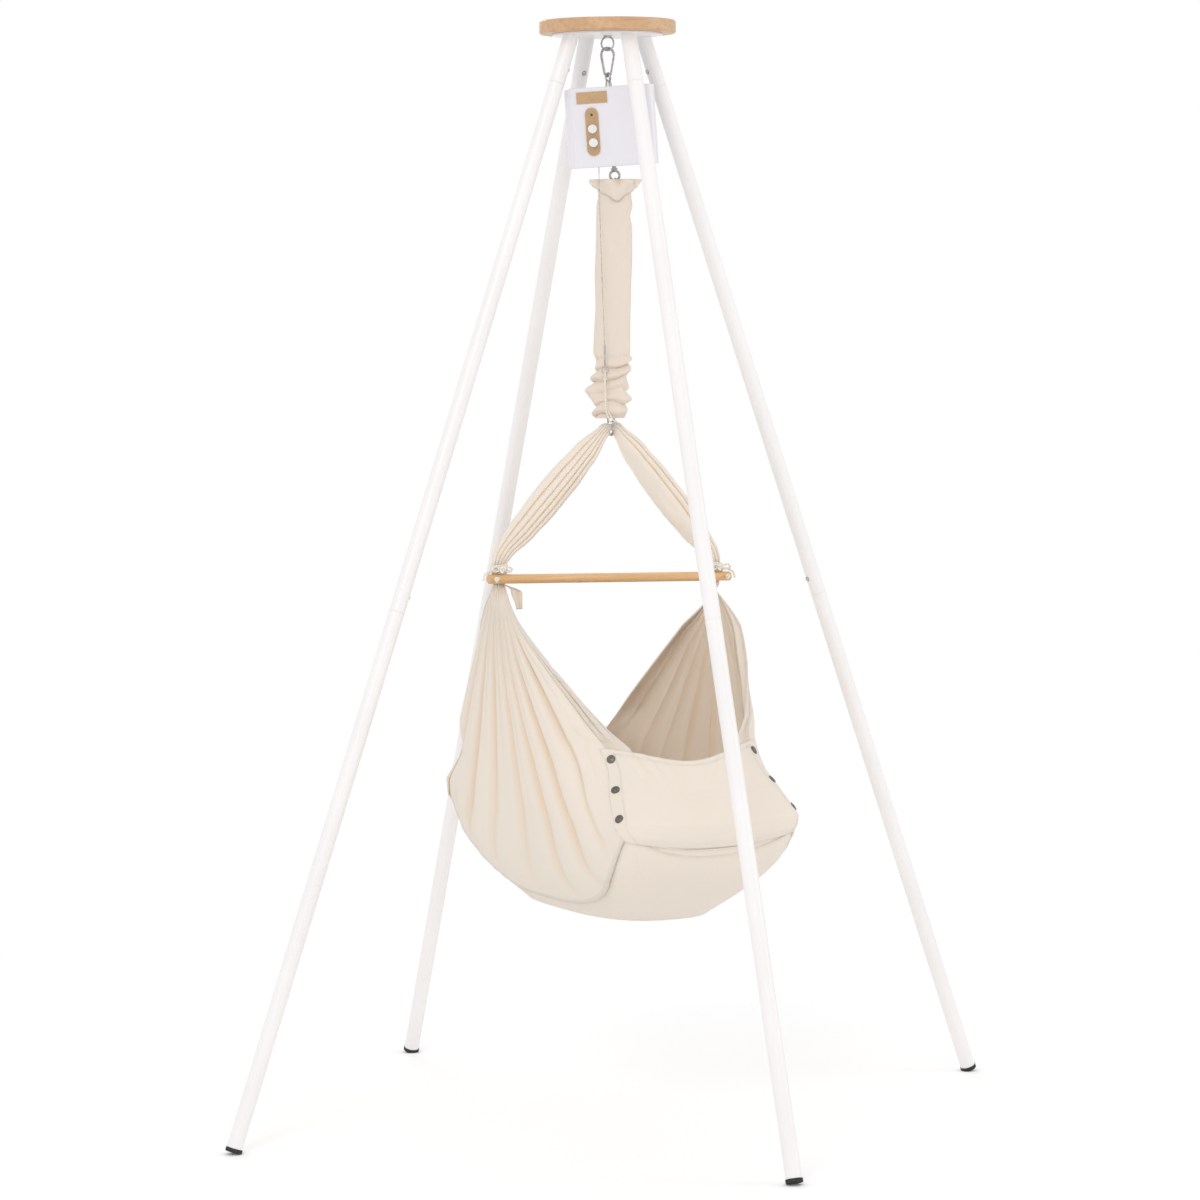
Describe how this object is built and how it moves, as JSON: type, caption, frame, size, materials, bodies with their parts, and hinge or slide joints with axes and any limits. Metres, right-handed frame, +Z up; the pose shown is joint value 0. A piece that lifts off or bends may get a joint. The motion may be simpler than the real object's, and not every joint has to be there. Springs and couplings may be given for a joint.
{
  "type": "baby spring cradle",
  "caption": "Hammock cradle of natural cotton on a spreader bar, hung by a spring in a sleeve and a motor box from a round wooden head on tall splayed tube legs.",
  "frame": {"origin": "on the floor, at the centre of the feet's outline, under the wooden disc", "axes": "+Z up; X along the spreader bar; -Y towards the cradle's foot end with the press-stud apron, +Y towards the head end"},
  "size_m": [1.592, 1.5084, 2.0256],
  "materials": {
    "disc_wood": "satin lacquer",
    "stand_white": "satin powder coat",
    "cap_black": "matte",
    "steel": "zinc plated",
    "casing_white": "gloss",
    "trim_wood": "satin",
    "knob_white": "gloss",
    "lens_green": "gloss",
    "black_plastic": "matte",
    "board": "matte",
    "cloth": "diamond weave",
    "mattress_cloth": "quilted",
    "cord": "twisted cotton"
  },
  "bodies": {
    "stand": {"top_disc": "disc_wood", "top_plate": "stand_white", "eye_bolt": "steel", "eye_nut": "steel", "upper_leg_front": "stand_white", "lower_leg_front": "stand_white", "upper_leg_right": "stand_white", "lower_leg_right": "stand_white", "upper_leg_back": "stand_white", "lower_leg_back": "stand_white", "upper_leg_left": "stand_white", "lower_leg_left": "stand_white", "foot_cap_front": "cap_black", "foot_cap_right": "cap_black", "foot_cap_back": "cap_black", "foot_cap_left": "cap_black"},
    "top_hook": {"top_hook": "steel"},
    "top_hook_gate": {"top_hook_gate": "steel"},
    "swivel": {"swivel_eye": "steel"},
    "motor": {"motor_front": "casing_white", "motor_back": "casing_white", "blank_plate": "trim_wood", "control_panel": "trim_wood", "led_lens": "lens_green", "power_inlet": "black_plastic", "gearmotor": "steel", "control_board": "board", "casing_screw_upper": "steel", "casing_screw_lower": "steel"},
    "knob_power": {"knob_power": "knob_white"},
    "knob_strength": {"knob_strength": "knob_white"},
    "lift": {"lift_rod": "steel"},
    "pinion": {"drive_pinion": "steel"},
    "cradle": {"apex_hook": "steel", "strap_left": "cloth", "strap_right": "cloth", "spreader_bar": "disc_wood", "bar_cord_left": "cord", "bar_cord_right": "cord", "fan_left": "cloth", "fan_right": "cloth", "bottom_shell": "cloth", "foot_apron": "cloth", "head_panel": "cloth", "mattress": "mattress_cloth", "spring": "steel", "sleeve": "cloth", "safety_cable": "steel", "key_ring": "steel", "cable_cord": "cord"},
    "apex_hook_gate": {"apex_hook_gate": "steel"},
    "snap_upper_front": {"snap_upper_front": "steel"},
    "snap_upper_right": {"snap_upper_right": "steel"},
    "snap_upper_back": {"snap_upper_back": "steel"},
    "snap_upper_left": {"snap_upper_left": "steel"},
    "snap_lower_front": {"snap_lower_front": "steel"},
    "snap_lower_right": {"snap_lower_right": "steel"},
    "snap_lower_back": {"snap_lower_back": "steel"},
    "snap_lower_left": {"snap_lower_left": "steel"}
  },
  "joints": [
    {"name": "swing_fore_aft", "type": "hinge", "parent": "stand", "child": "top_hook", "pos_m": [0, 0, 1.97612], "axis": [1, 0, 0], "range_deg": [-4, 4]},
    {"name": "swing_sideways", "type": "hinge", "parent": "top_hook", "child": "swivel", "pos_m": [0, 0, 1.93012], "axis": [0, 1, 0], "range_deg": [-4, 4]},
    {"name": "motor_twist", "type": "hinge", "parent": "swivel", "child": "motor", "pos_m": [0, 0, 1.93012], "axis": [-0.0663, 0, 0.9978], "range_deg": [-12, 12]},
    {"name": "top_gate_swing", "type": "hinge", "parent": "top_hook", "child": "top_hook_gate", "pos_m": [0.00716, 0, 1.93302], "axis": [0, -1, 0], "range_deg": [0, 15], "stiffness_Nm_per_rad": 0.01, "springref_deg": -20.05},
    {"name": "knob_power_turn", "type": "hinge", "parent": "motor", "child": "knob_power", "pos_m": [-0.04601, -0.02652, 1.82624], "axis": [-0.453, -0.891, -0.0301], "range_deg": [0, 270]},
    {"name": "knob_strength_turn", "type": "hinge", "parent": "motor", "child": "knob_strength", "pos_m": [-0.04435, -0.02652, 1.8013], "axis": [-0.453, -0.891, -0.0301], "range_deg": [0, 270]},
    {"name": "lift_stroke", "type": "slide", "parent": "motor", "child": "lift", "axis": [-0.0663, 0, 0.9978], "range_m": [-0.024, 0.0015]},
    {"name": "pinion_spin", "type": "hinge", "parent": "motor", "child": "pinion", "pos_m": [0.0104, 0.01069, 1.85575], "axis": [0.889, -0.454, 0.0591], "range_deg": [-9.6, 153]},
    {"name": "cradle_bounce", "type": "slide", "parent": "lift", "child": "cradle", "axis": [0, 0, 1], "range_m": [-0.1, 0.06], "stiffness_N_per_m": 450, "springref_m": 0.0538, "deforming": ["spring", "sleeve", "safety_cable"]},
    {"name": "apex_gate_swing", "type": "hinge", "parent": "cradle", "child": "apex_hook_gate", "pos_m": [0, 0.01021, 1.27541], "axis": [1, 0, 0], "range_deg": [0, 15], "stiffness_Nm_per_rad": 0.01, "springref_deg": -20.05},
    {"name": "snap_upper_front_press", "type": "slide", "parent": "stand", "child": "snap_upper_front", "axis": [0.069, -0.947, 0.3136], "range_m": [0, 0.0036], "stiffness_N_per_m": 800, "springref_m": -0.003},
    {"name": "snap_upper_right_press", "type": "slide", "parent": "stand", "child": "snap_upper_right", "axis": [0.9409, 0.0615, 0.333], "range_m": [0, 0.0036], "stiffness_N_per_m": 800, "springref_m": -0.003},
    {"name": "snap_upper_back_press", "type": "slide", "parent": "stand", "child": "snap_upper_back", "axis": [-0.0491, 0.9471, 0.3171], "range_m": [0, 0.0036], "stiffness_N_per_m": 800, "springref_m": -0.003},
    {"name": "snap_upper_left_press", "type": "slide", "parent": "stand", "child": "snap_upper_left", "axis": [-0.9409, -0.0593, 0.3334], "range_m": [0, 0.0036], "stiffness_N_per_m": 800, "springref_m": -0.003},
    {"name": "snap_lower_front_press", "type": "slide", "parent": "stand", "child": "snap_lower_front", "axis": [0.069, -0.947, 0.3136], "range_m": [0, 0.0036], "stiffness_N_per_m": 800, "springref_m": -0.003},
    {"name": "snap_lower_right_press", "type": "slide", "parent": "stand", "child": "snap_lower_right", "axis": [0.9409, 0.0615, 0.333], "range_m": [0, 0.0036], "stiffness_N_per_m": 800, "springref_m": -0.003},
    {"name": "snap_lower_back_press", "type": "slide", "parent": "stand", "child": "snap_lower_back", "axis": [-0.0491, 0.9471, 0.3171], "range_m": [0, 0.0036], "stiffness_N_per_m": 800, "springref_m": -0.003},
    {"name": "snap_lower_left_press", "type": "slide", "parent": "stand", "child": "snap_lower_left", "axis": [-0.9409, -0.0593, 0.3334], "range_m": [0, 0.0036], "stiffness_N_per_m": 800, "springref_m": -0.003}
  ],
  "couplings": [
    {"joint": "pinion_spin", "follows": "lift_stroke", "rad_per_m": -111.11}
  ]
}
